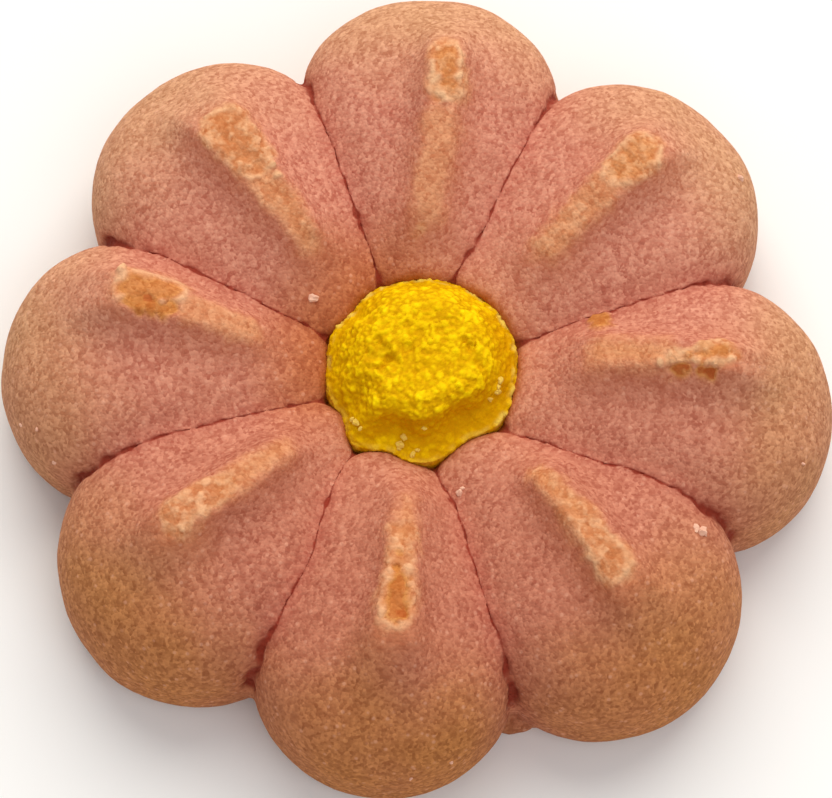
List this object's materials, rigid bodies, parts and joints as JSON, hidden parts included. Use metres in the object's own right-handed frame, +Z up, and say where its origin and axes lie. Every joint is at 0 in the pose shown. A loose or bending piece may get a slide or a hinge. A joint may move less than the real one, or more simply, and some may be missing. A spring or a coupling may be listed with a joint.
{
  "type": "pressed butter cookie shaped as a flower",
  "caption": "Piped butter cookie: a flower of fused pink dough petals, each with a torn crest, round a rough yellow dough centre.",
  "frame": {"origin": "on the tray under the middle of the cookie's outline", "axes": "+Z up through the cookie, its shortest extent; +Y to the petal at the top of the picture, +X to the petal at its right"},
  "size_m": [0.0482, 0.0482, 0.0116],
  "materials": {
    "pink_dough": "matte baked pink butter dough, sandy, tan at the edges and orange on the torn crests",
    "yellow_dough": "matte baked yellow butter dough, moist and crumbly on top"
  },
  "bodies": {
    "root": {"petals": "pink_dough", "centre": "yellow_dough"}
  },
  "joints": []
}
